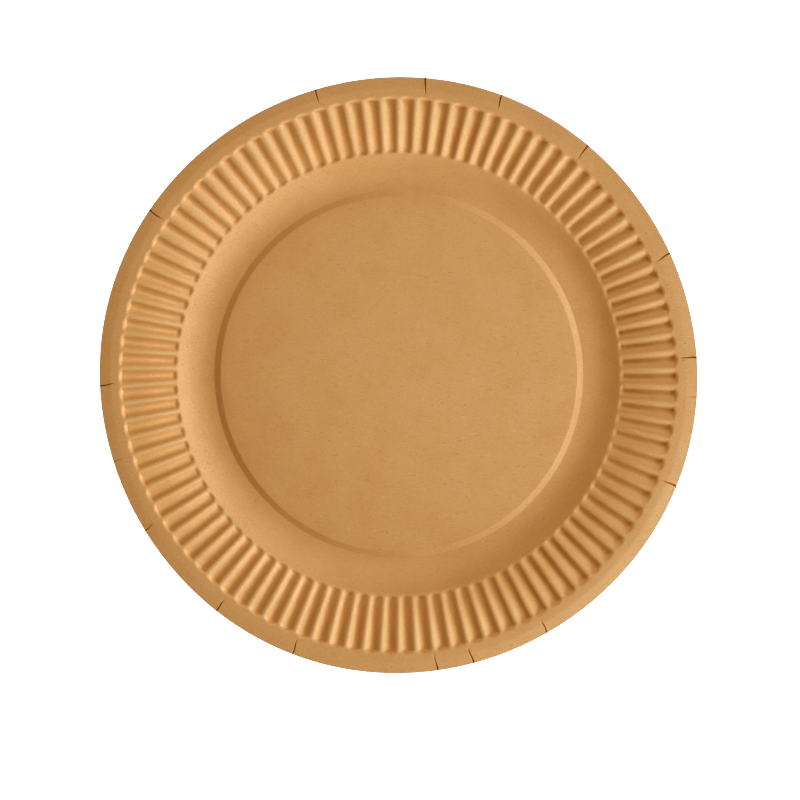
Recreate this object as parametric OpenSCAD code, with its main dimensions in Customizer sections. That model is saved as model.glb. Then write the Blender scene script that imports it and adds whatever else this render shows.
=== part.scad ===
// Round paper plate, die-pressed from one sheet of brown kraft board.
// Millimetres, +Z up. The origin is the centre of the standing ring, on the table.
// The board is one closed skin: its upper and lower faces follow the same section, half a sheet
// to each side of its middle, and the flutes are pressed down into the flange on both faces.

/* [Sheet] */
// Outer diameter of the plate
plate_d = 230; // [180:1:300]
// Thickness of the board
sheet = 0.5; // [0.3:0.05:0.7]

/* [Base] */
// Radial width of the step round the centre panel
step_w = 2.8; // [2:0.1:5]
// Height of the centre panel above the standing ring
step_h = 1.0; // [0.5:0.1:1.2]
// Radial width of each bend of the step
step_round = 0.5; // [0.3:0.1:0.9]
// Radial width of the flat ring that the plate stands on
ring_w = 1.7; // [1:0.1:6]

/* [Wall] */
// Radial width of the curved wall
wall_w = 12.0; // [9:0.5:18]
// Steepest slope of the wall, in degrees
wall_angle = 40; // [30:1:55]

/* [Flange] */
// Radial width of the fluted flange
flange_w = 22.7; // [14:0.1:28]
// Slope of the flange at its foot, in degrees
flange_foot = 28; // [18:1:36]
// Slope of the flange where it meets the brim, in degrees
flange_top = 6; // [3:1:12]

/* [Brim] */
// Radial width of the plain brim outside the flange, lip included
brim_w = 7.0; // [6:0.1:12]
// Slope of the brim inside its lip, in degrees
brim_angle = 3; // [0:0.5:5]
// Radial width of the lip at the edge of the brim
lip_w = 4.2; // [3.5:0.1:5]
// Droop of the lip, in degrees
lip_angle = 6; // [3:1:14]

/* [Flutes] */
// Width of one flute across its mouth
flute_w = 4.2; // [3.4:0.1:5]
// Width of one flute across its floor
floor_w = 1.7; // [1.2:0.1:2.4]
// Depth that a flute is pressed below the flange
flute_depth = 1.2; // [0.6:0.1:1.8]
// Length over which the floor of a flute rises at each end
flute_ramp = 1.9; // [1.2:0.1:3]
// Least width of the ridge left between two flutes
ridge_w = 1.4; // [1:0.05:3]
// Distance from the ends of a flute to the ends of the flange
flute_inset = 0.2; // [0.1:0.1:1]

/* [Creases] */
// Depth of a pressing crease at the edge of the lip
crease_depth = 0.25; // [0.1:0.05:0.25]
// Width of a crease at the edge of the lip
crease_w = 0.6; // [0.3:0.1:1]
// Length of a crease, inwards from the edge
crease_len = 3.2; // [1.5:0.1:3.3]

/* [Hidden] */

kraft = [0.78, 0.58, 0.35];

// Angles round the plate where the lip creased as it was pressed
crease_angles = [4, 24, 51, 70, 85, 106, 146, 181, 196, 211, 232, 249, 277, 284, 300, 338];

// Radii where one stretch of the section ends and the next begins, from the edge inwards
edge_r = plate_d / 2;
lip_r = edge_r - lip_w;
brim_r = edge_r - brim_w;
flange_r = brim_r - flange_w;
wall_r = flange_r - wall_w;
ring_r = wall_r - ring_w;
panel_r = ring_r - step_w;

// Slope of the step between its two bends
step_angle = atan(step_h / (step_w - step_round));

// Radii of the bends that follow from the widths and slopes
wall_bend = wall_w / sin(wall_angle);
flange_bend = flange_w / (sin(flange_foot) - sin(flange_top));

// Heights of the middle of the board at those radii
ring_z = sheet / 2;
panel_z = ring_z + step_h;
flange_z = ring_z + wall_bend * (1 - cos(wall_angle));
brim_z = flange_z + flange_bend * (cos(flange_top) - cos(flange_foot));
lip_z = brim_z + (lip_r - brim_r) * tan(brim_angle);
edge_z = lip_z - lip_w * tan(lip_angle);

// Flutes: the radii of the rows that shape one, and how many go round
flute_in = flange_r + flute_inset;
flute_out = brim_r - flute_inset;
flute_radii = [flute_in, flute_in + flute_ramp, (flute_in + flute_out) / 2, flute_out - flute_ramp, flute_out];
flute_depths = [0, flute_depth, flute_depth, flute_depth, 0];
flute_count = floor(2 * PI * flute_radii[1] / (flute_w + ridge_w));
pitch = 360 / flute_count;

// A flute's edges across it, and how far each skin's edges move to keep the board even in thickness
flute_edges = [-flute_w / 2, -floor_w / 2, floor_w / 2, flute_w / 2];
edge_shift = sheet / 2 * tan(atan2(flute_depth, (flute_w - floor_w) / 2) / 2);

// Rows of the section as [radius, height, slope] of the middle of the board, from the centre outwards
base_rows = [
    [panel_r, panel_z, 0],
    step_row(panel_r, panel_z, 1),
    step_row(ring_r, ring_z, -1),
    [ring_r, ring_z, 0],
    for (share = [0, 1 / 3, 2 / 3]) wall_row(share * wall_angle),
    [flange_r, flange_z, (wall_angle + flange_foot) / 2]
];
flute_rows = [for (r = flute_radii) flange_row(r)];
brim_rows = [[lip_r, lip_z, (brim_angle - lip_angle) / 2], [edge_r, edge_z, -lip_angle]];

// Row where a bend of the step ends, outwards (1) from the panel or inwards (-1) from the ring
function step_row(r, z, way) =
    [r + way * step_round, z - way * step_round * tan(step_angle / 2), -step_angle];

// Row on the arc of the wall, where it has the given slope
function wall_row(slope) = [wall_r + wall_bend * sin(slope), ring_z + wall_bend * (1 - cos(slope)), slope];

// Row on the arc of the flange, at the given radius
function flange_row(r) = let (slope = asin(sin(flange_foot) - (r - flange_r) / flange_bend))
    [r, flange_z + flange_bend * (cos(slope) - cos(flange_foot)), slope];

// Point of a row at a distance across the plate's radius, lifted off the middle of the board
function row_point(row, turn, across, lift) =
    let (r = row[0] - lift * sin(row[2]))
    [r * cos(turn) - across * sin(turn), r * sin(turn) + across * cos(turn), row[1] + lift * cos(row[2])];

// Ring of points on the ridges, one for each flute
function plain_ring(row, face) =
    [for (i = [0 : flute_count - 1]) row_point(row, (i - 0.5) * pitch, 0, face * sheet / 2)];

// Ring of points on the edges of the flutes, four for each flute
function fluted_ring(row, depth, face) =
    [for (i = [0 : flute_count - 1], k = [0 : 3])
        row_point(row, i * pitch, flute_edges[k] - sign(flute_edges[k]) * face * edge_shift,
                  face * sheet / 2 - (k == 1 || k == 2 ? depth : 0))];

// All points of the upper face (1) or the lower face (-1)
function face_points(face) = concat(
    [for (row = base_rows) each plain_ring(row, face)],
    [for (k = [0 : len(flute_rows) - 1]) each fluted_ring(flute_rows[k], flute_depths[k], face)],
    [for (row = brim_rows) each plain_ring(row, face)]);

// Where each row starts in the list of a face's points
base_count = len(base_rows);
flute_start = base_count * flute_count;
brim_start = flute_start + 4 * len(flute_rows) * flute_count;
lip_start = brim_start;
rim_start = brim_start + flute_count;
face_size = rim_start + flute_count;
crease_start = 2 * face_size;

// Place of a point in a ring, which closes on itself
function on_plain(start, i) = start + (i + flute_count) % flute_count;
function on_fluted(start, i, k) = start + (4 * i + k + 4 * flute_count) % (4 * flute_count);

// Two triangles between an inner pair of points and an outer pair
function quad(a, a2, b, b2, flip = false) = flip ? [[a, b, a2], [a2, b, b2]] : [[a, b, b2], [a, b2, a2]];

// Band between two plain rings
function plain_band(inner, outer) =
    [for (i = [0 : flute_count - 1])
        each quad(on_plain(inner, i), on_plain(inner, i + 1), on_plain(outer, i), on_plain(outer, i + 1))];

// Band between two fluted rings; the flipped strip gives the flutes their pointed ends
function fluted_band(inner, outer, flipped) =
    [for (i = [0 : flute_count - 1], k = [0 : 3])
        each quad(on_fluted(inner, i, k), on_fluted(inner, i, k + 1),
                  on_fluted(outer, i, k), on_fluted(outer, i, k + 1), k == flipped)];

// Band from a plain ring out to a fluted one
function spread_band(plain, fluted) =
    [for (i = [0 : flute_count - 1])
        let (p = on_plain(plain, i), p2 = on_plain(plain, i + 1), f = [for (k = [-1 : 3]) on_fluted(fluted, i, k)])
        each [[p, f[0], f[1]], [p, f[1], f[2]], [p, f[2], p2], [p2, f[2], f[3]], [p2, f[3], f[4]]]];

// Band from a fluted ring out to a plain one
function gather_band(fluted, plain) =
    [for (i = [0 : flute_count - 1])
        let (p = on_plain(plain, i), p2 = on_plain(plain, i + 1), f = [for (k = [-1 : 3]) on_fluted(fluted, i, k)])
        each [[f[0], p, f[1]], [f[1], p, f[2]], [f[2], p, p2], [f[2], p2, f[3]], [f[3], p2, f[4]]]];

// Triangles of one face inside the lip, counter-clockwise from above
function face_bands() =
    let (f = [for (k = [0 : len(flute_rows) - 1]) flute_start + 4 * k * flute_count])
    concat(
        [[for (i = [0 : flute_count - 1]) i]],
        [for (k = [0 : base_count - 2]) each plain_band(k * flute_count, (k + 1) * flute_count)],
        spread_band((base_count - 1) * flute_count, f[0]),
        fluted_band(f[0], f[1], 0),
        fluted_band(f[1], f[2], -1),
        fluted_band(f[2], f[3], -1),
        fluted_band(f[3], f[4], 2),
        gather_band(f[4], lip_start));

// The crease that falls between one ridge and the next: its place in the list and its share of the way
function crease_at(i) =
    [for (k = [0 : len(crease_angles) - 1])
        let (way = crease_angles[k] / pitch - i + 0.5)
        if (way >= 0 && way < 1) [k, min(max(way, 0.2), 0.8)]];

// Points of one crease: its two sides and its bottom at the edge, and its inner end
function crease_points(points, i, crease) =
    let (half = crease_w / 2 / (edge_r * sin(pitch / 2) * 2),
         lip = [points[on_plain(lip_start, i)], points[on_plain(lip_start, i + 1)]],
         rim = [points[on_plain(rim_start, i)], points[on_plain(rim_start, i + 1)]],
         way = crease[1],
         edge = between(rim[0], rim[1], way))
    [between(rim[0], rim[1], way - half), edge - [0, 0, crease_depth], between(rim[0], rim[1], way + half),
     between(edge, between(lip[0], lip[1], way), crease_len / lip_w)];

function between(a, b, share) = a + (b - a) * share;

// Upper face of the lip from one ridge to the next
function lip_sector(i) =
    let (a = on_plain(lip_start, i), a2 = on_plain(lip_start, i + 1),
         b = on_plain(rim_start, i), b2 = on_plain(rim_start, i + 1), found = crease_at(i))
    len(found) == 0 ? quad(a, a2, b, b2)
    : let (c = crease_start + 4 * found[0][0])
      [[a, b, c], [a, c, c + 3], [c + 3, c, c + 1], [c + 3, c + 1, c + 2], [a2, c + 3, c + 2],
       [a2, c + 2, b2], [a, c + 3, a2]];

// Cut edge of the board from one ridge to the next, counter-clockwise from outside
function edge_sector(i) =
    let (t = on_plain(rim_start, i), t2 = on_plain(rim_start, i + 1), b = t + face_size, b2 = t2 + face_size,
         found = crease_at(i))
    len(found) == 0 ? [[b, b2, t2], [b, t2, t]]
    : let (c = crease_start + 4 * found[0][0])
      [[b, c, t], [b, c + 1, c], [b, b2, c + 1], [b2, c + 2, c + 1], [b2, t2, c + 2]];

// The same faces seen from the other side
function turned(faces) = [for (f = faces) [for (k = [len(f) - 1 : -1 : 0]) f[k]]];

module plate() {
    upper = face_points(1);
    lower = face_points(-1);
    creases = [for (k = [0 : len(crease_angles) - 1])
        let (i = floor(crease_angles[k] / pitch + 0.5))
        each crease_points(upper, i, crease_at(i)[0])];
    bands = face_bands();
    lip = [for (i = [0 : flute_count - 1]) each lip_sector(i)];
    edge = [for (i = [0 : flute_count - 1]) each edge_sector(i)];
    under = [for (f = concat(bands, plain_band(lip_start, rim_start))) [for (p = f) p + face_size]];
    color(kraft) polyhedron(concat(upper, lower, creases), concat(turned(concat(bands, lip, edge)), under));
}

plate();
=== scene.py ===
"""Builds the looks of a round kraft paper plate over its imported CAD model.

The plate is one sheet of board, pressed in a die: a flat centre panel, a small step down to the
ring that it stands on, a curved wall, a flange with pill-shaped flutes, and a plain brim whose lip
droops and is creased here and there. Everything is in metres, in the frame of the CAD model.
"""

import logging
import math
from dataclasses import dataclass
from enum import Enum

import bpy
import numpy as np
from mathutils import Matrix, Vector


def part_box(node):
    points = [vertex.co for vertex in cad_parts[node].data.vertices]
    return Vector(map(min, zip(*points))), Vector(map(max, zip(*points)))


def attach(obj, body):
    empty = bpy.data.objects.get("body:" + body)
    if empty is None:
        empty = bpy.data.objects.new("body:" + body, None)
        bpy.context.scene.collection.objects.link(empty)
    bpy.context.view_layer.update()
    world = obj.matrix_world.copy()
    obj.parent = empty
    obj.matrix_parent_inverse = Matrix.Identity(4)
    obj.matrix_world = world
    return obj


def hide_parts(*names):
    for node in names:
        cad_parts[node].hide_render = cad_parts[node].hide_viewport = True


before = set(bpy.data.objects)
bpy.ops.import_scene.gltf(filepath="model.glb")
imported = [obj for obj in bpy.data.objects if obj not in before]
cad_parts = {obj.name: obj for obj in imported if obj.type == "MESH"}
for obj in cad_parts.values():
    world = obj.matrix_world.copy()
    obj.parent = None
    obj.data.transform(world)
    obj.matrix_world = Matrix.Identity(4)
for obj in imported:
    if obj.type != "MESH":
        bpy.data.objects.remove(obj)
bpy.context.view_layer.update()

LOG = logging.getLogger("paper_plate")
MM = 0.001
WHITE = (1.0, 1.0, 1.0, 1.0)
MID_GREY = (0.5, 0.5, 0.5, 1.0)
Socket = bpy.types.NodeSocket


class Face(Enum):
    """The two faces of the board."""

    UPPER = 1
    LOWER = -1


@dataclass(frozen=True)
class Crease:
    """One crease that the press left in the brim.

    Attributes:
        angle: Place round the plate at the edge, in degrees from +X.
        length: Length inwards from the edge.
        lean: Distance that the inner end lies to the left of the outer one.
        depth: Depth at the edge.
        lip: Side on which the board is pushed up, 1 for left and -1 for right.
    """

    angle: float
    length: float
    lean: float
    depth: float
    lip: int


@dataclass(frozen=True)
class Wave:
    """One slow wave that runs round the brim.

    Attributes:
        count: Number of waves round the plate.
        turn: Turn of the wave, in radians.
        share: Its share of the brim's wave height.
    """

    count: int
    turn: float
    share: float

    def height(self, angle: np.ndarray) -> np.ndarray:
        """Gives the wave's height at some angles round the plate."""
        return self.share * np.sin(self.count * angle + self.turn)


@dataclass(frozen=True)
class KraftFinish:
    """Uncoated brown board.

    Attributes:
        name: Name of the material.
        pulp: Colour of the board itself.
        dark_fibre: Colour of the dark fibres and specks.
        pale_fibre_and_light: Colour of the pale fibres, and of the painted light on the flutes and the
            step.
        painted_crease_shade: Colour of the painted shade down in a crease.
        roughness: Roughness of the surface.
        tooth: Height of the paper's grain.
    """

    name: str
    pulp: tuple[float, float, float]
    dark_fibre: tuple[float, float, float]
    pale_fibre_and_light: tuple[float, float, float]
    painted_crease_shade: tuple[float, float, float]
    roughness: float
    tooth: float


KRAFT_FACE = KraftFinish(
    name="kraft_board",
    pulp=(0.65, 0.335, 0.116),
    dark_fibre=(0.36, 0.16, 0.045),
    # The pale colour also paints light on the flutes and the step
    pale_fibre_and_light=(0.82, 0.46, 0.16),
    # Colour of the painted shade down in the creases
    painted_crease_shade=(0.22, 0.09, 0.025),
    roughness=0.82,
    tooth=0.03 * MM,
)
KRAFT_EDGE = KraftFinish(
    name="kraft_cut_edge",
    pulp=(0.70, 0.39, 0.15),
    dark_fibre=(0.42, 0.20, 0.07),
    # The pale colour also paints light on the flutes and the step
    pale_fibre_and_light=(0.84, 0.54, 0.26),
    # Colour of the painted shade down in the creases
    painted_crease_shade=(0.22, 0.09, 0.025),
    roughness=0.92,
    tooth=0.05 * MM,
)


@dataclass(frozen=True)
class SoftLight:
    """One square soft light that faces the plate.

    Attributes:
        name: Name of the light.
        azimuth: Direction round the plate, in degrees from +X.
        elevation: Height above the horizon, in degrees.
        distance: Distance from the plate's centre.
        size: Side of the light.
        power: Power in watts.
    """

    name: str
    azimuth: float
    elevation: float
    distance: float
    size: float
    power: float


SOFT_LIGHTS = (
    SoftLight("key_right", 330.0, 28.0, 1.6, 0.3, 11.0),
    SoftLight("key_top", 60.0, 28.0, 1.6, 0.3, 8.2),
    SoftLight("overhead", 0.0, 89.0, 0.4, 0.12, 0.69),
    SoftLight("low_left", 240.0, 6.0, 1.6, 0.3, 8.2),
    SoftLight("low_top", 150.0, 6.0, 1.6, 0.3, 4.9),
    SoftLight("near_right", 325.0, 11.0, 0.4, 0.12, 0.36),
)

CREASES = (
    Crease(3.8, 6.8 * MM, 0.5 * MM, 0.42 * MM, 1),
    Crease(24.6, 6.6 * MM, -0.7 * MM, 0.36 * MM, -1),
    Crease(50.7, 6.8 * MM, 0.1 * MM, 0.40 * MM, 1),
    Crease(69.9, 6.4 * MM, -0.6 * MM, 0.36 * MM, -1),
    Crease(84.8, 6.8 * MM, -0.6 * MM, 0.44 * MM, 1),
    Crease(106.0, 6.4 * MM, 0.4 * MM, 0.36 * MM, -1),
    Crease(146.1, 7.0 * MM, 0.6 * MM, 0.40 * MM, 1),
    Crease(163.0, 4.0 * MM, 0.1 * MM, 0.10 * MM, 1),
    Crease(181.8, 6.2 * MM, -0.8 * MM, 0.40 * MM, -1),
    Crease(196.6, 4.6 * MM, 0.1 * MM, 0.14 * MM, 1),
    Crease(211.4, 4.6 * MM, -0.8 * MM, 0.28 * MM, -1),
    Crease(232.2, 6.0 * MM, -0.1 * MM, 0.34 * MM, 1),
    Crease(249.2, 6.6 * MM, -0.3 * MM, 0.36 * MM, -1),
    Crease(277.7, 6.6 * MM, -0.7 * MM, 0.38 * MM, 1),
    Crease(284.8, 6.6 * MM, -0.7 * MM, 0.42 * MM, -1),
    Crease(300.1, 6.2 * MM, 0.9 * MM, 0.30 * MM, 1),
    Crease(338.5, 6.6 * MM, 0.5 * MM, 0.38 * MM, -1),
    Crease(356.2, 5.0 * MM, 0.1 * MM, 0.14 * MM, 1),
)

# Half the width of a crease at the edge, and what its inner end lacks of that, in millimetres
CREASE_HALF_MM = 0.36
CREASE_TAPER_MM = 0.18
# How far the line of a crease bends to each side
CREASE_CROOK = 0.12 * MM
# Place, half width and share of the depth of the swelling beside a crease
SWELLING_OFF = 0.6 * MM
SWELLING_HALF = 0.35 * MM
SWELLING_SHARE = 0.4

BRIM_WAVES = (Wave(3, 0.6, 1.0), Wave(7, 0.0, 0.6))

# Places of the mesh's columns across one flute, closer where its sides curve
FLUTE_COLUMNS = (0.0, 0.1, 0.19, 0.27, 0.35, 0.43, 0.5, 0.57, 0.65, 0.73, 0.81, 0.9)
# Columns of a plain ring to the width of one flute, one for three of a fluted ring's
PLAIN_COLUMNS = len(FLUTE_COLUMNS) // 3
# Distance from a crease to the farthest columns that are drawn in to it
CREASE_REACH = 0.85 * MM
# Distance over which the drawn-in columns, and the mark of the flutes, fade out
FADE = 1 * MM
# Step of the table that holds the section, and how far it goes past the edge
TABLE_STEP = 0.02 * MM
TABLE_OVERHANG = 1 * MM
# Step from which the board's normals are worked out
NORMAL_STEP = 0.05 * MM
# Turn between two polygons above which their edge is sharp, in degrees
SHARP_ANGLE = 38.0
# Shares of its pivot at which a tone curve has its points
TONE_SHARES = (0.12, 0.3, 0.6, 1.0, 1.7)


@dataclass
class PaperPlate:
    """The pressed plate, with the sizes of its section and its flutes.

    Attributes:
        edge_r: Radius of the plate's edge, from the frame.
        sheet: Thickness of the board.
        step_w: Radial width of the step round the centre panel.
        step_h: Height of the panel above the standing ring.
        step_bend: Radial width over which the panel turns into the step.
        ring_w: Radial width of the standing ring.
        wall_w: Radial width of the curved wall.
        wall_angle: Steepest slope of the wall, in degrees.
        flange_w: Radial width of the fluted flange.
        flange_foot: Slope of the flange at its foot, in degrees.
        flange_top: Slope of the flange at the brim, in degrees.
        brim_w: Radial width of the brim, lip included.
        brim_angle: Slope of the brim inside its lip, in degrees.
        lip_w: Radial width of the drooping lip.
        lip_angle: Droop of the lip, in degrees.
        bend_w: Radial width over which one slope turns into the next.
        flute_count: Number of flutes round the flange.
        flute_depth: Depth of a flute below the ridges.
        flute_floor: Share of a flute's half width over which its floor turns up into its sides.
        flute_crest: Share of a flute's half width over which its sides turn over into the ridge.
        flute_start: Share of its depth that a flute has at the wall.
        flute_shoal: Length over which a flute gets from there to its full depth.
        flute_foot: Length over which a flute ends at the wall.
        flute_ramp: Length over which a flute ends at the brim.
        flute_inset: Distance from the ends of a flute to the ends of the flange.
        wave: Height of the brim's slow waves.
        swell: How far the edge strays from a true circle.
        swell_count: Number of bulges round the edge.
        swell_turn: Turn of the bulges, in radians.
    """

    edge_r: float
    sheet: float = 0.5 * MM
    step_w: float = 2.8 * MM
    step_h: float = 0.95 * MM
    step_bend: float = 0.3 * MM
    ring_w: float = 1.7 * MM
    wall_w: float = 12.0 * MM
    wall_angle: float = 40.0
    flange_w: float = 22.7 * MM
    flange_foot: float = 28.0
    flange_top: float = 6.0
    brim_w: float = 7.0 * MM
    brim_angle: float = 3.0
    lip_w: float = 4.2 * MM
    lip_angle: float = 6.0
    bend_w: float = 0.9 * MM
    flute_count: int = 98
    flute_depth: float = 1.65 * MM
    flute_floor: float = 0.55
    flute_crest: float = 0.3
    flute_start: float = 0.5
    flute_shoal: float = 4.2 * MM
    flute_foot: float = 1.5 * MM
    flute_ramp: float = 1.9 * MM
    flute_inset: float = 0.1 * MM
    wave: float = 0.12 * MM
    swell: float = 0.3 * MM
    swell_count: int = 4
    swell_turn: float = 1.2

    def __post_init__(self) -> None:
        """Works out the radii of the section and the height of the board along it."""
        self.lip_r = self.edge_r - self.lip_w
        self.brim_r = self.edge_r - self.brim_w
        self.flange_r = self.brim_r - self.flange_w
        self.wall_r = self.flange_r - self.wall_w
        self.ring_r = self.wall_r - self.ring_w
        self.panel_r = self.ring_r - self.step_w
        self.flute_in = self.flange_r + self.flute_inset
        self.flute_out = self.brim_r - self.flute_inset
        self.full_in = self.flute_in + self.flute_foot
        self.full_out = self.flute_out - self.flute_ramp
        self.pitch = 2 * math.pi / self.flute_count
        self.plain_columns = PLAIN_COLUMNS * self.flute_count
        self.fine_columns = len(FLUTE_COLUMNS) * self.flute_count
        knots = self.section_knots()
        knot_radii = [r for r, _ in knots]
        knot_sines = [math.sin(math.radians(slope)) for _, slope in knots]
        self.table_r = np.arange(0.0, self.edge_r + TABLE_OVERHANG, TABLE_STEP)
        self.table_slope = np.arcsin(np.interp(self.table_r, knot_radii, knot_sines))
        rise = np.cumsum(np.tan(self.table_slope)) * TABLE_STEP
        at_ring = np.interp((self.ring_r + self.wall_r) / 2, self.table_r, rise)
        self.table_z = rise - at_ring + self.sheet / 2

    def section_knots(self) -> list[tuple[float, float]]:
        """Gives the radii where the slope of the board changes, with the slope in degrees.

        Returns:
            Radius and slope of each knot; the sine of the slope runs straight from knot to knot.
        """
        half = self.bend_w / 2
        step_angle = math.degrees(math.atan(self.step_h / (self.step_w - self.step_bend)))
        return [
            (0.0, 0.0),
            (self.panel_r, 0.0),
            (self.panel_r + self.step_bend, -step_angle),
            (self.ring_r - self.step_bend, -step_angle),
            (self.ring_r, 0.0),
            (self.wall_r, 0.0),
            (self.flange_r - half, self.wall_angle),
            (self.flange_r + half, self.flange_foot),
            (self.brim_r - half, self.flange_top),
            (self.brim_r + half, self.brim_angle),
            (self.lip_r - half, self.brim_angle),
            (self.lip_r + half, -self.lip_angle),
            (self.edge_r, -self.lip_angle),
        ]

    def flute_press(self, r: np.ndarray, angle: np.ndarray) -> np.ndarray:
        """Gives how far the flutes are pressed below the flange.

        Args:
            r: Radii.
            angle: Angles round the plate, in radians.

        Returns:
            Depths, nought outside the flutes.
        """
        off = angle / self.pitch - np.round(angle / self.pitch)
        across = r * np.sin(off * self.pitch)
        half = r * self.pitch / 2
        beyond = np.maximum((self.full_in - r) / self.flute_foot, (r - self.full_out) / self.flute_ramp)
        reach = np.minimum(np.hypot(across / half, np.maximum(beyond, 0.0)), 1.0)
        rise = 1 - (self.flute_floor + self.flute_crest) / 2
        low = reach**2 / (2 * self.flute_floor)
        side = reach - self.flute_floor / 2
        high = rise - (1 - reach) ** 2 / (2 * self.flute_crest)
        climb = np.where(reach < 1 - self.flute_crest, side, high)
        climb = np.where(reach < self.flute_floor, low, climb)
        shoal = np.clip((r - self.flute_in) / self.flute_shoal, 0.0, 1.0)
        depth = self.flute_depth * (self.flute_start + (1 - self.flute_start) * shoal)
        press = depth * (1 - climb / rise)
        return np.where((r > self.flute_in) & (r < self.flute_out), press, 0.0)

    def middle(self, r: np.ndarray, angle: np.ndarray) -> np.ndarray:
        """Gives points on the middle of the board.

        Args:
            r: Radii in the section.
            angle: Angles round the plate, in radians.

        Returns:
            Points, one row each.
        """
        slope = np.interp(r, self.table_r, self.table_slope)
        press = self.flute_press(r, angle)
        outward = np.clip((r - self.wall_r) / (self.edge_r - self.wall_r), 0.0, 1.0) ** 2
        bulge = np.cos(self.swell_count * angle + self.swell_turn)
        waves = sum(wave.height(angle) for wave in BRIM_WAVES)
        radius = r + np.sin(slope) * press + self.swell * outward * bulge
        height = np.interp(r, self.table_r, self.table_z) - np.cos(slope) * press
        height = height + self.wave * outward * waves
        return np.stack([radius * np.cos(angle), radius * np.sin(angle), height], axis=-1)

    def crease_path(self, crease: Crease, r: np.ndarray) -> np.ndarray:
        """Gives the angle of a crease's line at some radii.

        Args:
            crease: The crease.
            r: Radii.

        Returns:
            Angles in radians.
        """
        share = (self.edge_r - r) / crease.length
        crook = CREASE_CROOK * np.sin(2 * math.pi * share)
        return math.radians(crease.angle) + (crease.lean * share + crook) / r

    def crease_drop(self, r: np.ndarray, angle: np.ndarray) -> tuple[np.ndarray, np.ndarray]:
        """Gives how far the creases lower the upper face of the brim.

        Args:
            r: Radii.
            angle: Angles round the plate, in radians.

        Returns:
            Depths, negative where a crease pushes the board up, and the share of painted shade down in
            the creases.
        """
        drop = np.zeros_like(r)
        dark = np.zeros_like(r)
        for crease in CREASES:
            share = np.clip((self.edge_r - r) / crease.length, 0.0, 1.0)
            turn = angle - self.crease_path(crease, r)
            turn = (turn + math.pi) % (2 * math.pi) - math.pi
            across = turn * r
            notch = np.maximum(1 - np.abs(across) / self.crease_half(share), 0.0)
            swelling = np.exp(-(((across - crease.lip * SWELLING_OFF) / SWELLING_HALF) ** 2))
            depth = crease.depth * (1 - share**3)
            drop += depth * (notch - SWELLING_SHARE * swelling)
            # Painted shade: how far down each crease is, which darkens its colour
            dark += depth * notch
        return drop, dark / max(crease.depth for crease in CREASES)

    def crease_half(self, share: np.ndarray | float) -> np.ndarray | float:
        """Gives half the width of a crease at a share of its length from the edge."""
        return (CREASE_HALF_MM - CREASE_TAPER_MM * share) * MM

    def skin(self, r: np.ndarray, angle: np.ndarray, face: Face) -> np.ndarray:
        """Gives points on one face of the board.

        Args:
            r: Radii in the section.
            angle: Angles round the plate, in radians.
            face: The face of the board.

        Returns:
            Points, one row each.
        """
        turn = NORMAL_STEP / r
        along = self.middle(r + NORMAL_STEP, angle) - self.middle(r - NORMAL_STEP, angle)
        round_it = self.middle(r, angle + turn) - self.middle(r, angle - turn)
        normal = np.cross(along, round_it)
        normal /= np.linalg.norm(normal, axis=-1, keepdims=True)
        points = self.middle(r, angle) + face.value * self.sheet / 2 * normal
        if face is Face.UPPER:
            points[:, 2] -= self.crease_drop(r, angle)[0]
        return points

    def ring_radii(self) -> tuple[np.ndarray, np.ndarray]:
        """Gives the radii of the mesh's rings.

        Returns:
            Radii of the plain rings up to the flutes, and of the fluted and brim rings.
        """
        shoulder_r = self.flange_r - self.bend_w / 2
        lip_in = self.lip_r - self.bend_w / 2
        lip_out = self.lip_r + self.bend_w / 2
        before_flutes = self.flute_in - 0.2 * MM
        after_flutes = self.flute_out + 0.1 * MM
        # Each row has where its rings start, where they end, and their number
        plain = [
            np.linspace(0.12, 0.94, 6) * self.panel_r,
            self.panel_r + np.linspace(0.0, self.step_bend, 3),
            np.linspace(self.panel_r + self.step_bend, self.ring_r - self.step_bend, 5)[1:-1],
            self.ring_r - np.linspace(self.step_bend, 0.0, 3),
            np.linspace(self.wall_r, shoulder_r, 9),
        ]
        fluted = [
            np.linspace(before_flutes, self.full_in, 9),
            np.linspace(self.full_in, self.full_out, 7)[1:],
            np.linspace(self.full_out, after_flutes, 9)[1:],
            np.linspace(self.flute_out, lip_in, 4)[1:],
            np.linspace(lip_in, lip_out, 3)[1:],
            np.linspace(lip_out, self.edge_r, 4)[1:],
        ]
        return np.concatenate(plain), np.concatenate(fluted)

    def ring_angles(self, r: float, columns: int) -> np.ndarray:
        """Gives the angles of one ring's points, drawn in to the creases that cross it.

        Args:
            r: Radius of the ring.
            columns: Number of points.

        Returns:
            Angles in radians.
        """
        spacing = 2 * math.pi / columns
        angles = np.arange(columns) * spacing
        if columns == self.plain_columns:
            return angles
        if r < self.flute_out:
            flutes = np.arange(self.flute_count)[:, None] * self.pitch
            return (flutes + np.array(FLUTE_COLUMNS) * self.pitch).ravel()
        for crease in CREASES:
            hold = np.clip((r - self.edge_r + crease.length) / FADE + 0.5, 0.0, 1.0)
            path = float(self.crease_path(crease, np.array(r)))
            nearest = round(math.radians(crease.angle) / spacing)
            half = self.crease_half(min((self.edge_r - r) / crease.length, 1.0))
            for step, offset in enumerate((-CREASE_REACH, -half, 0.0, half, CREASE_REACH), -2):
                free = (nearest + step) * spacing
                angles[(nearest + step) % columns] += hold * (path + offset / r - free)
        return angles

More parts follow.
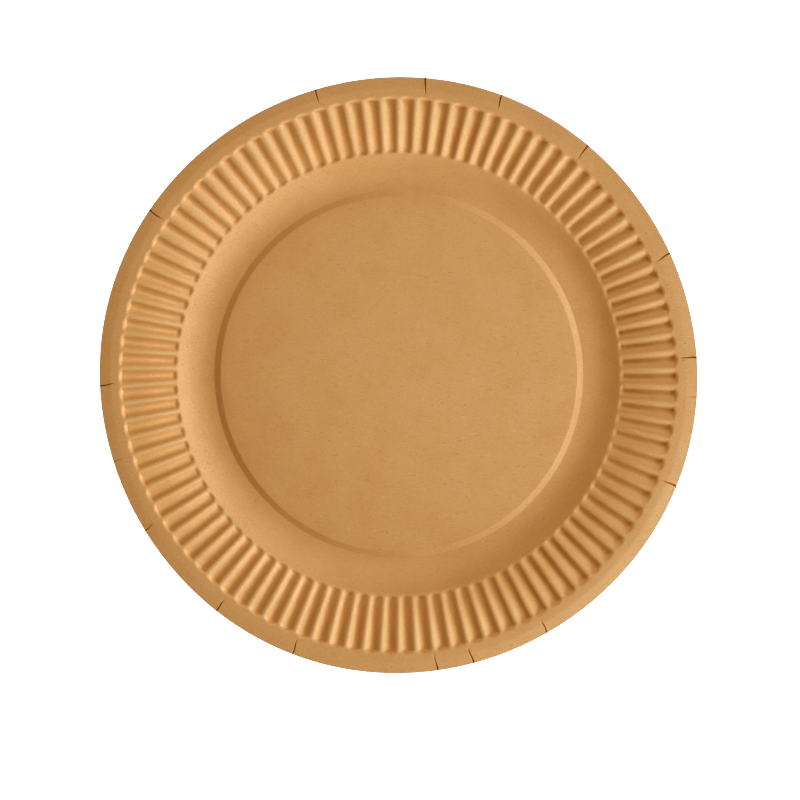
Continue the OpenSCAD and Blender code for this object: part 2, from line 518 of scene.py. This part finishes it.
    def build(self) -> bpy.types.Object:
        """Builds the plate's mesh: both faces of the board and its cut edge.

        Returns:
            The plate's object.
        """
        plain, fluted = self.ring_radii()
        rings = [(r, self.plain_columns) for r in plain] + [(r, self.fine_columns) for r in fluted]
        radii = np.concatenate([np.full(n, r) for r, n in rings])
        angles = np.concatenate([self.ring_angles(r, n) for r, n in rings])
        starts = np.cumsum([1] + [n for _, n in rings])
        total = int(starts[-1])
        panel_z = float(self.table_z[0])
        points = []
        faces = []
        for face in Face:
            centre = np.array([[0.0, 0.0, panel_z + face.value * self.sheet / 2]])
            points.append(np.concatenate([centre, self.skin(radii, angles, face)]))
            base = 0 if face is Face.UPPER else total
            for shape in self.face_polygons(rings, starts):
                turned = shape if face is Face.UPPER else shape[:, ::-1]
                faces.extend((turned + base).tolist())
        rim = int(starts[-2]) + np.arange(rings[-1][1])
        nxt = np.roll(rim, -1)
        edge = np.stack([rim + total, nxt + total, nxt, rim], axis=1)
        faces.extend(edge.tolist())
        mesh = bpy.data.meshes.new("plate_board")
        mesh.from_pydata(np.concatenate(points).tolist(), [], faces)
        mesh.update()
        mesh.polygons.foreach_set("use_smooth", np.ones(len(mesh.polygons), bool))
        self.mark(mesh, radii, angles)
        cut = np.zeros(len(mesh.polygons), np.int32)
        cut[-len(edge) :] = 1
        mesh.polygons.foreach_set("material_index", cut)
        mesh.set_sharp_from_angle(angle=math.radians(SHARP_ANGLE))
        board = bpy.data.objects.new("pressed_board", mesh)
        bpy.context.scene.collection.objects.link(board)
        LOG.info("pressed_board: %d points, %d faces", len(mesh.vertices), len(mesh.polygons))
        return board

    def mark(self, mesh: bpy.types.Mesh, radii: np.ndarray, angles: np.ndarray) -> None:
        """Marks the upper face for painted light and shade: painted shade down in the creases, and
        painted light that makes the flutes and the step paler.

        Args:
            mesh: The plate's mesh, whose first point is the centre of the upper face.
            radii: Radii of the upper face's other points.
            angles: Angles of those points round the plate, in radians.
        """
        # Painted light: a mask over the fluted flange and the step, fading out at their ends
        flutes = np.minimum(radii - self.flute_in, self.flute_out - radii) / FADE
        step = np.minimum(radii - self.panel_r, self.ring_r - radii) / self.step_bend
        marks = {
            # Painted shade down in the creases
            "painted_crease_shade": self.crease_drop(radii, angles)[1],
            # Painted light over the flutes and the step
            "pressed": np.clip(np.maximum(flutes, step), 0.0, 1.0),
        }
        for name, mark in marks.items():
            values = np.zeros(len(mesh.vertices))
            values[1 : 1 + len(mark)] = mark
            mesh.attributes.new(name, "FLOAT", "POINT").data.foreach_set("value", values)

    def face_polygons(self, rings: list[tuple[float, int]], starts: np.ndarray) -> list[np.ndarray]:
        """Lists the polygons of one face, counter-clockwise from above.

        Args:
            rings: Radius and number of points of each ring.
            starts: Index of each ring's first point.

        Returns:
            Arrays of triangles and quads.
        """
        first = starts[0] + np.arange(rings[0][1])
        shapes = [np.stack([np.zeros_like(first), first, np.roll(first, -1)], axis=1)]
        for k in range(len(rings) - 1):
            inner = starts[k] + np.arange(rings[k][1])
            outer = starts[k + 1] + np.arange(rings[k + 1][1])
            inner_next = np.roll(inner, -1)
            ratio = len(outer) // len(inner)
            if ratio == 1:
                shapes.append(np.stack([inner, outer, np.roll(outer, -1), inner_next], axis=1))
                continue
            # The fluted rings have three columns for one of the plain ones
            fan = [outer[0::ratio], outer[1::ratio], outer[2::ratio], np.roll(outer[0::ratio], -1)]
            shapes.append(np.stack([inner, fan[0], fan[1]], axis=1))
            shapes.append(np.stack([inner, fan[1], fan[2], inner_next], axis=1))
            shapes.append(np.stack([inner_next, fan[2], fan[3]], axis=1))
        return shapes

    def dress(self, board: bpy.types.Object) -> None:
        """Gives the board its finishes and sets it in place of the CAD solid.

        Args:
            board: The plate's object.
        """
        for finish in (KRAFT_FACE, KRAFT_EDGE):
            board.data.materials.append(kraft_material(finish))
        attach(board, "root")
        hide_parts("plate")


def new_node(tree: bpy.types.NodeTree, kind: str, **values: object) -> bpy.types.Node:
    """Adds a node to a tree and sets its properties and inputs.

    Args:
        tree: The node tree.
        kind: Blender's name for the node type.
        values: Properties of the node, or inputs by name with spaces as underscores.

    Returns:
        The node.
    """
    node = tree.nodes.new(kind)
    for name, value in values.items():
        if hasattr(node, name):
            setattr(node, name, value)
        else:
            node.inputs[name.replace("_", " ")].default_value = value
    return node


def kraft_group() -> bpy.types.NodeTree:
    """Makes the node group of pulp, fibres and specks, with painted shade in the creases and painted
    light on the flutes and the step, that the board's finishes share.

    Returns:
        The group, with colours as inputs and a colour and a height as outputs.
    """
    name = "kraft_pulp"
    if name in bpy.data.node_groups:
        return bpy.data.node_groups[name]
    group = bpy.data.node_groups.new(name, "ShaderNodeTree")
    for label in ("Pulp", "Dark Fibre", "Pale Fibre And Light", "Painted Crease Shade"):
        group.interface.new_socket(label, in_out="INPUT", socket_type="NodeSocketColor")
    group.interface.new_socket("Color", in_out="OUTPUT", socket_type="NodeSocketColor")
    group.interface.new_socket("Height", in_out="OUTPUT", socket_type="NodeSocketFloat")
    inputs = new_node(group, "NodeGroupInput")
    outputs = new_node(group, "NodeGroupOutput")
    place = new_node(group, "ShaderNodeTexCoord").outputs["Object"]

    def link(a: Socket, b: Socket) -> None:
        """Joins an output to an input."""
        group.links.new(a, b)

    def noise(scale: float, detail: float, vector: Socket = place) -> Socket:
        """Adds a noise of a given scale and gives its value."""
        node = new_node(group, "ShaderNodeTexNoise", Scale=scale, Detail=detail, Roughness=0.6)
        link(vector, node.inputs["Vector"])
        return node.outputs["Fac"]

    def ramp(value: Socket, low: float, high: float, top: float) -> Socket:
        """Maps a value between two limits to a share from nought to top."""
        node = new_node(group, "ShaderNodeMapRange", From_Min=low, From_Max=high, To_Max=top)
        link(value, node.inputs["Value"])
        return node.outputs["Result"]

    def blend(share: Socket, under: Socket, over: Socket) -> Socket:
        """Lays one colour over another by a share."""
        node = new_node(group, "ShaderNodeMix", data_type="RGBA")
        link(share, node.inputs[0])
        link(under, node.inputs[6])
        link(over, node.inputs[7])
        return node.outputs[2]

    def fibres(turn: float, seed: float) -> Socket:
        """Adds one lie of short fibres, as noise drawn out along a line that wanders."""
        stretch = (0.16, 1.0, 1.0)
        sway = (2 * MM, 2 * MM, 0.0)
        mapping = new_node(group, "ShaderNodeMapping")
        mapping.inputs["Rotation"].default_value = (0.0, 0.0, math.radians(turn))
        mapping.inputs["Location"].default_value = (seed, seed, seed)
        mapping.inputs["Scale"].default_value = stretch
        wander = new_node(group, "ShaderNodeTexNoise", Scale=160.0, Detail=1.0)
        link(place, wander.inputs["Vector"])
        shift = new_node(group, "ShaderNodeVectorMath", operation="MULTIPLY_ADD")
        shift.inputs[1].default_value = sway
        link(wander.outputs["Color"], shift.inputs[0])
        link(place, shift.inputs[2])
        link(shift.outputs["Vector"], mapping.inputs["Vector"])
        return noise(scale=2400.0, detail=1.0, vector=mapping.outputs["Vector"])

    pulp = inputs.outputs["Pulp"]
    dark = inputs.outputs["Dark Fibre"]
    pale = inputs.outputs["Pale Fibre And Light"]
    cloud = noise(scale=55.0, detail=3.0)
    grain = noise(scale=1500.0, detail=4.0)
    color = blend(ramp(cloud, low=0.35, high=0.8, top=0.08), pulp, pale)
    color = blend(ramp(cloud, low=0.55, high=0.2, top=0.05), color, dark)
    color = blend(ramp(grain, low=0.5, high=0.75, top=0.1), color, pale)
    color = blend(ramp(grain, low=0.5, high=0.25, top=0.1), color, dark)
    first = fibres(turn=20.0, seed=0.1)
    second = fibres(turn=80.0, seed=0.3)
    third = fibres(turn=-40.0, seed=0.7)
    color = blend(ramp(first, low=0.64, high=0.72, top=0.13), color, pale)
    color = blend(ramp(second, low=0.66, high=0.74, top=0.15), color, dark)
    color = blend(ramp(third, low=0.67, high=0.75, top=0.13), color, dark)
    specks = new_node(group, "ShaderNodeTexVoronoi", Scale=210.0, Randomness=1.0)
    link(place, specks.inputs["Vector"])
    color = blend(ramp(specks.outputs["Distance"], low=0.09, high=0.05, top=0.2), color, dark)
    # Painted light: the flutes and the step are blended towards the pale colour, paler than the rest of
    # the board
    pressed = new_node(group, "ShaderNodeAttribute", attribute_name="pressed").outputs["Fac"]
    color = blend(ramp(pressed, low=0.0, high=1.0, top=0.14), color, pale)
    # Painted shade: the creases are darkened towards the crease colour
    painted_crease_shade = new_node(group, "ShaderNodeAttribute", attribute_name="painted_crease_shade").outputs["Fac"]
    color = blend(ramp(painted_crease_shade, low=0.1, high=0.7, top=0.8), color, inputs.outputs["Painted Crease Shade"])
    link(color, outputs.inputs["Color"])
    fibre_share = 0.6
    height = new_node(group, "ShaderNodeMath", operation="MULTIPLY_ADD")
    height.inputs[1].default_value = fibre_share
    link(first, height.inputs[0])
    link(grain, height.inputs[2])
    link(height.outputs["Value"], outputs.inputs["Height"])
    return group


def kraft_material(finish: KraftFinish) -> bpy.types.Material:
    """Makes the material of one kraft finish.

    Args:
        finish: The finish.

    Returns:
        The material.
    """
    material = bpy.data.materials.new(finish.name)
    material.use_nodes = True
    tree = material.node_tree
    shader = tree.nodes["Principled BSDF"]
    shader.inputs["Roughness"].default_value = finish.roughness
    shader.inputs["Specular IOR Level"].default_value = 0.0
    pulp = new_node(tree, "ShaderNodeGroup", node_tree=kraft_group())
    colors = {
        "Pulp": finish.pulp,
        "Dark Fibre": finish.dark_fibre,
        "Pale Fibre And Light": finish.pale_fibre_and_light,
        "Painted Crease Shade": finish.painted_crease_shade,
    }
    for label, color in colors.items():
        pulp.inputs[label].default_value = (*color, 1.0)
    tree.links.new(pulp.outputs["Color"], shader.inputs["Base Color"])
    bump = new_node(tree, "ShaderNodeBump", Strength=0.5, Distance=finish.tooth)
    tree.links.new(pulp.outputs["Height"], bump.inputs["Height"])
    tree.links.new(bump.outputs["Normal"], shader.inputs["Normal"])
    return material


@dataclass
class Studio:
    """The plain floor, the lights and the camera.

    Attributes:
        plate: The plate that is shown.
        camera_distance: Distance from the camera to the rim's centre.
        camera_lean: Lean of the camera off the plate's axis, in degrees.
        camera_turn: Side to which the camera leans, in degrees from +X.
        picture_px: Width of the picture.
        rim_px: Radius of the rim in the picture.
        rim_at_px: Centre of the rim in the picture, from its top left corner.
        fill: Strength of the sky's light on the plate.
        bounce: Strength of the floor's own light on the plate.
        backdrop: Brightness of the sky and the floor as the camera sees them.
        tone_pivots: Red, green and blue of the board in plain light, which the tone curves keep.
        tone_powers: Steepness of the three tone curves.
    """

    plate: PaperPlate
    camera_distance: float = 1.5
    camera_lean: float = 4.5
    camera_turn: float = 75.0
    picture_px: float = 800.0
    rim_px: float = 298.9
    rim_at_px: tuple[float, float] = (398.1, 376.9)
    fill: float = 0.02
    bounce: float = 0.3
    backdrop: float = 1.3
    tone_pivots: tuple[float, float, float] = (0.571, 0.292, 0.100)
    tone_powers: tuple[float, float, float] = (1.5, 2.0, 2.85)

    def white_when_seen(self, tree: bpy.types.NodeTree, strength: float) -> Socket:
        """Adds a strength that is white in the picture and weaker where it lights the plate.

        Args:
            tree: The node tree of the floor or the sky.
            strength: Strength of the light on the plate.

        Returns:
            The strength's socket.
        """
        seen = new_node(tree, "ShaderNodeLightPath").outputs["Is Camera Ray"]
        choice = new_node(tree, "ShaderNodeMapRange", To_Min=strength, To_Max=self.backdrop)
        tree.links.new(seen, choice.inputs["Value"])
        return choice.outputs["Result"]

    def lay_floor(self) -> None:
        """Lays a plain white floor under the plate."""
        half = 6.0
        mesh = bpy.data.meshes.new("floor")
        corners = [(-half, -half, 0.0), (half, -half, 0.0), (half, half, 0.0), (-half, half, 0.0)]
        mesh.from_pydata(corners, [], [(0, 1, 2, 3)])
        floor = bpy.data.objects.new("studio_floor", mesh)
        bpy.context.scene.collection.objects.link(floor)
        material = bpy.data.materials.new("white_floor")
        material.use_nodes = True
        tree = material.node_tree
        shader = tree.nodes["Principled BSDF"]
        shader.inputs["Base Color"].default_value = MID_GREY
        shader.inputs["Roughness"].default_value = 0.9
        shader.inputs["Specular IOR Level"].default_value = 0.0
        shader.inputs["Emission Color"].default_value = WHITE
        tree.links.new(self.white_when_seen(tree, self.bounce), shader.inputs["Emission Strength"])
        mesh.materials.append(material)
        LOG.info("studio_floor: %.1f m square", 2 * half)

    def add_light(self, light: SoftLight) -> None:
        """Adds one soft light.

        Args:
            light: The light.
        """
        data = bpy.data.lights.new(light.name, "AREA")
        data.size = light.size
        data.energy = light.power
        lamp = bpy.data.objects.new(light.name, data)
        lamp.visible_camera = False
        turn = math.radians(light.azimuth)
        tilt = math.radians(light.elevation)
        level = math.cos(tilt)
        toward = Vector((math.cos(turn) * level, math.sin(turn) * level, math.sin(tilt)))
        lamp.location = toward * light.distance
        lamp.rotation_mode = "QUATERNION"
        lamp.rotation_quaternion = toward.to_track_quat("Z", "Y")
        bpy.context.scene.collection.objects.link(lamp)

    def light(self) -> None:
        """Sets the soft lights round the plate, under a white sky."""
        world = bpy.data.worlds.new("studio")
        bpy.context.scene.world = world
        world.use_nodes = True
        tree = world.node_tree
        sky = tree.nodes["Background"]
        sky.inputs["Color"].default_value = WHITE
        tree.links.new(self.white_when_seen(tree, self.fill), sky.inputs["Strength"])
        for light in SOFT_LIGHTS:
            self.add_light(light)

    def grade(self) -> None:
        """Sets the picture's tones: brown board turns redder in its shadows and paler in its lights."""
        view = bpy.context.scene.view_settings
        view.view_transform = "Standard"
        view.use_curve_mapping = True
        mapping = view.curve_mapping
        mapping.use_clip = False
        for curve, pivot, power in zip(mapping.curves, self.tone_pivots, self.tone_powers):
            curve.points[0].location = (0.0, 0.0)
            curve.points[1].location = (self.backdrop, self.backdrop)
            curve.points[1].handle_type = "VECTOR"
            for share in TONE_SHARES:
                curve.points.new(share * pivot, pivot * share**power)
        mapping.update()

    def set_camera(self) -> None:
        """Places the camera almost over the plate, at the photograph's angle and framing."""
        data = bpy.data.cameras.new("camera")
        camera = bpy.data.objects.new("camera", data)
        scene = bpy.context.scene
        scene.collection.objects.link(camera)
        scene.camera = camera
        lean = math.radians(self.camera_lean)
        turn = math.radians(self.camera_turn)
        rim_z = float(np.interp(self.plate.lip_r, self.plate.table_r, self.plate.table_z))
        level = math.sin(lean)
        back = Vector((level * math.cos(turn), level * math.sin(turn), math.cos(lean)))
        place = Vector((0.0, 0.0, rim_z)) + back * self.camera_distance
        right = Vector((0.0, 1.0, 0.0)).cross(back).normalized()
        up = back.cross(right)
        camera.matrix_world = camera_matrix(place, right, up, back)
        picture_w = self.plate.edge_r * self.picture_px / self.rim_px
        data.sensor_width = 36.0
        data.lens = data.sensor_width * self.camera_distance / picture_w
        data.shift_x = (self.picture_px / 2 - self.rim_at_px[0]) / self.picture_px
        data.shift_y = (self.rim_at_px[1] - self.picture_px / 2) / self.picture_px
        data.clip_start = 0.01
        data.clip_end = 50.0


def camera_matrix(place: Vector, right: Vector, up: Vector, back: Vector) -> Matrix:
    """Gives a camera's matrix from its place and its three axes.

    Args:
        place: The camera's place.
        right: Direction to the picture's right.
        up: Direction to the picture's top.
        back: Direction from the picture to the camera.

    Returns:
        The matrix.
    """
    turn = Matrix((right, up, back)).transposed().to_4x4()
    return Matrix.Translation(place) @ turn


def main() -> None:
    """Builds the plate, its finishes, the floor, the lights and the camera."""
    logging.basicConfig(level=logging.INFO, format="%(name)s: %(message)s")
    low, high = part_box("plate")
    plate = PaperPlate(edge_r=(high.y - low.y) / 2)
    plate.dress(plate.build())
    studio = Studio(plate)
    studio.lay_floor()
    studio.light()
    studio.grade()
    studio.set_camera()


if __name__ == "__main__":
    main()
